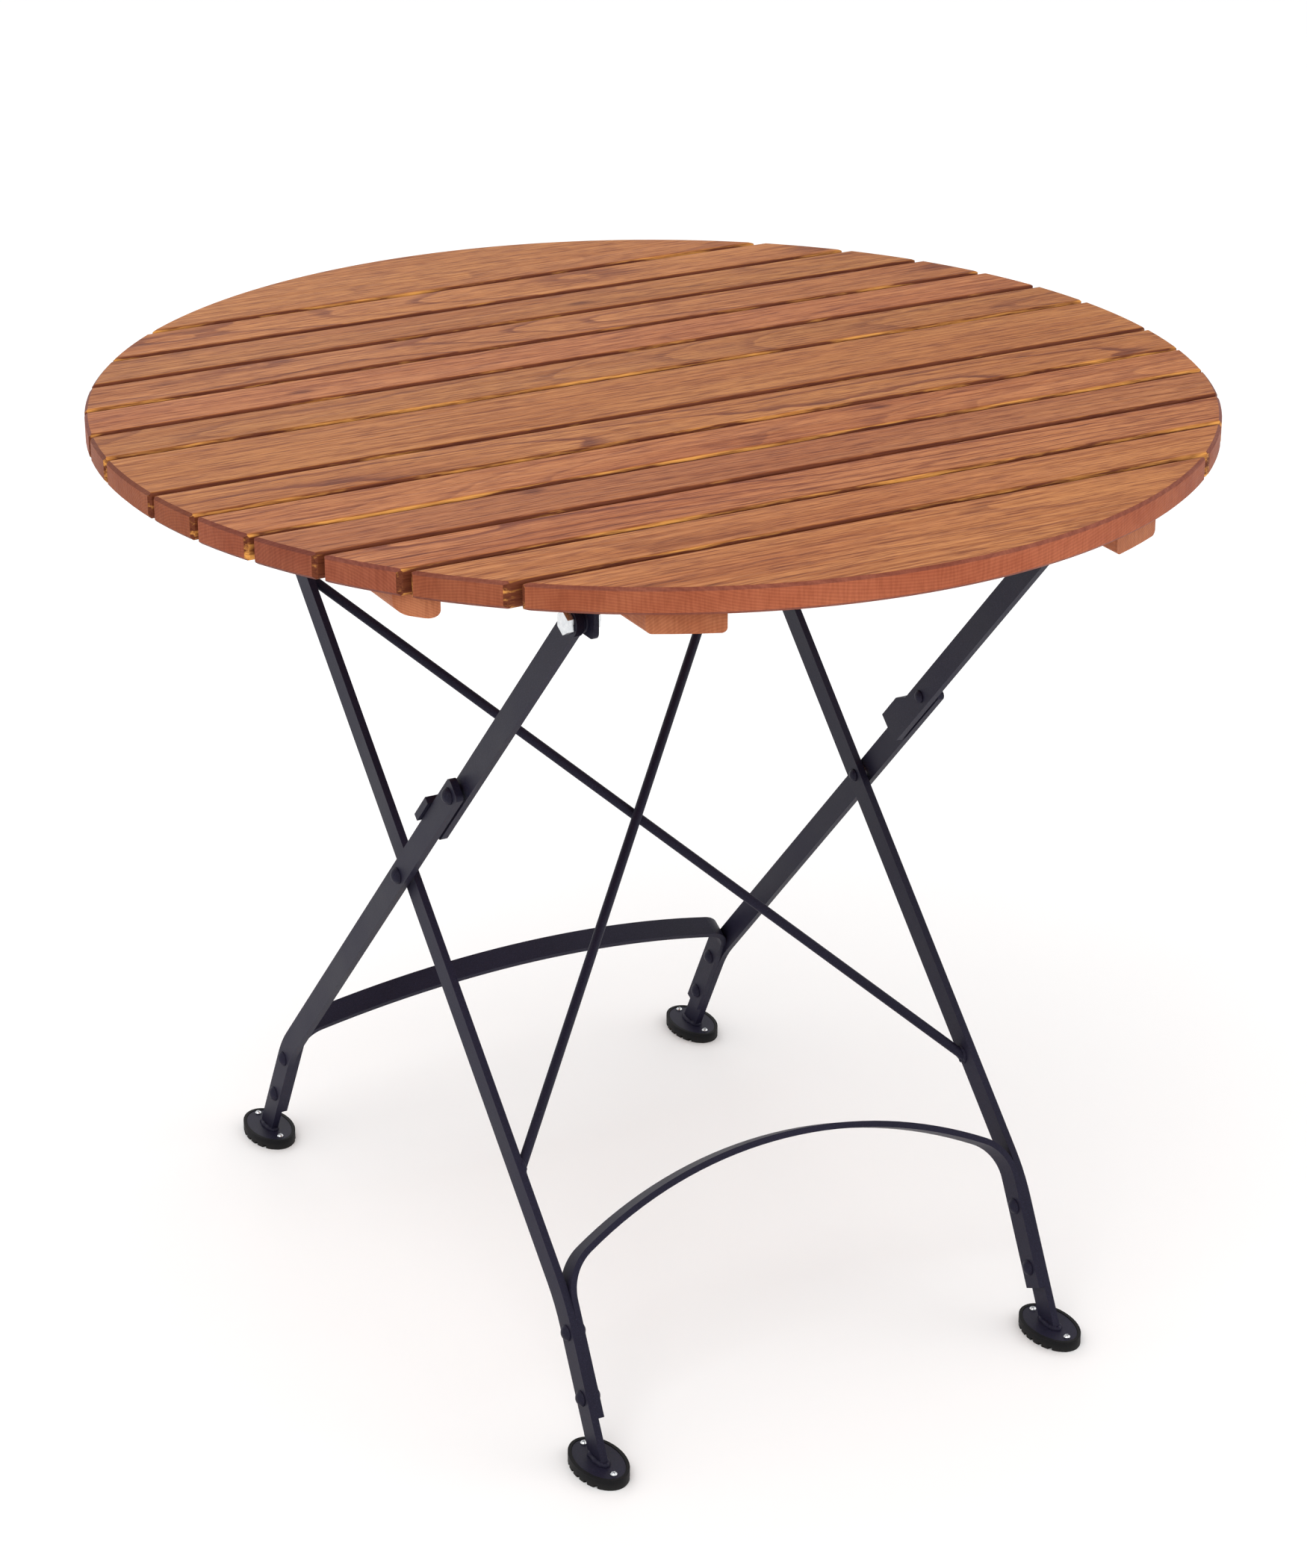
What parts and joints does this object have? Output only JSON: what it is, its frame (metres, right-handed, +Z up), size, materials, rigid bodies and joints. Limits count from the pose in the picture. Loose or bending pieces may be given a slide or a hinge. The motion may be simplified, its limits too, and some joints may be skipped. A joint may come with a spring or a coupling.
{
  "type": "folding picnic table",
  "caption": "Round slatted wooden table top on a folding scissor frame of flat steel bar with braced legs, arched spreaders and rubber feet.",
  "frame": {"origin": "on the floor under the middle of the top", "axes": "+Z up, X along the slats and the pivot axes, -Y towards the front, the side that the links are on"},
  "size_m": [0.8698, 0.87, 0.746],
  "materials": {
    "slat_wood": "oiled, satin",
    "batten_wood": "oiled, satin",
    "coated_steel": "fine textured anthracite powder coat",
    "zinc": "bright zinc plate",
    "rubber": "matt"
  },
  "bodies": {
    "top": {"slat_01": "slat_wood", "slat_02": "slat_wood", "slat_03": "slat_wood", "slat_04": "slat_wood", "slat_05": "slat_wood", "slat_06": "slat_wood", "slat_07": "slat_wood", "slat_08": "slat_wood", "slat_09": "slat_wood", "slat_10": "slat_wood", "slat_11": "slat_wood", "slat_12": "slat_wood", "slat_13": "slat_wood", "inner_batten_left": "batten_wood", "inner_batten_right": "batten_wood", "outer_batten_left": "batten_wood", "outer_batten_right": "batten_wood", "slat_screws": "zinc", "bracket_screws": "zinc", "front_bracket_left": "coated_steel", "front_bracket_right": "coated_steel", "front_bolt_left": "zinc", "front_bolt_right": "zinc", "front_nuts": "zinc", "rear_bracket_left": "coated_steel", "rear_bracket_right": "coated_steel", "rear_nuts": "zinc"},
    "links": {"link_left": "coated_steel", "link_right": "coated_steel"},
    "outer_frame": {"outer_leg_left": "coated_steel", "outer_leg_right": "coated_steel", "back_arch": "coated_steel", "back_arch_rivets": "coated_steel", "knee_rivet_left": "coated_steel", "knee_rivet_right": "coated_steel", "knee_washers": "zinc", "cross_washers": "zinc", "back_foot_plate_left": "coated_steel", "back_foot_plate_right": "coated_steel", "back_foot_pad_left": "rubber", "back_foot_pad_right": "rubber", "back_foot_screws": "zinc", "cross_rivet_left": "coated_steel", "cross_rivet_right": "coated_steel"},
    "inner_frame": {"inner_leg_left": "coated_steel", "inner_leg_right": "coated_steel", "front_arch": "coated_steel", "front_arch_rivets": "coated_steel", "brace_rod_1": "coated_steel", "brace_rod_2": "coated_steel", "rear_bolt_left": "zinc", "rear_bolt_right": "zinc", "front_foot_plate_left": "coated_steel", "front_foot_plate_right": "coated_steel", "front_foot_pad_left": "rubber", "front_foot_pad_right": "rubber", "front_foot_screws": "zinc"}
  },
  "joints": [
    {"name": "link_pivot", "type": "hinge", "parent": "top", "child": "links", "pos_m": [0, -0.26178, 0.6816], "axis": [1, 0, 0], "range_deg": [0, 46.64]},
    {"name": "knee", "type": "hinge", "parent": "links", "child": "outer_frame", "pos_m": [0, -0.07595, 0.4788], "axis": [1, 0, 0], "range_deg": [-162.09, 0]},
    {"name": "crossing", "type": "hinge", "parent": "outer_frame", "child": "inner_frame", "pos_m": [0, 0.021, 0.373], "axis": [1, 0, 0], "range_deg": [0, 73.45]}
  ],
  "couplings": [
    {"joint": "knee", "follows": "link_pivot", "ratio": -3.4753},
    {"joint": "crossing", "follows": "link_pivot", "ratio": 1.5748}
  ]
}
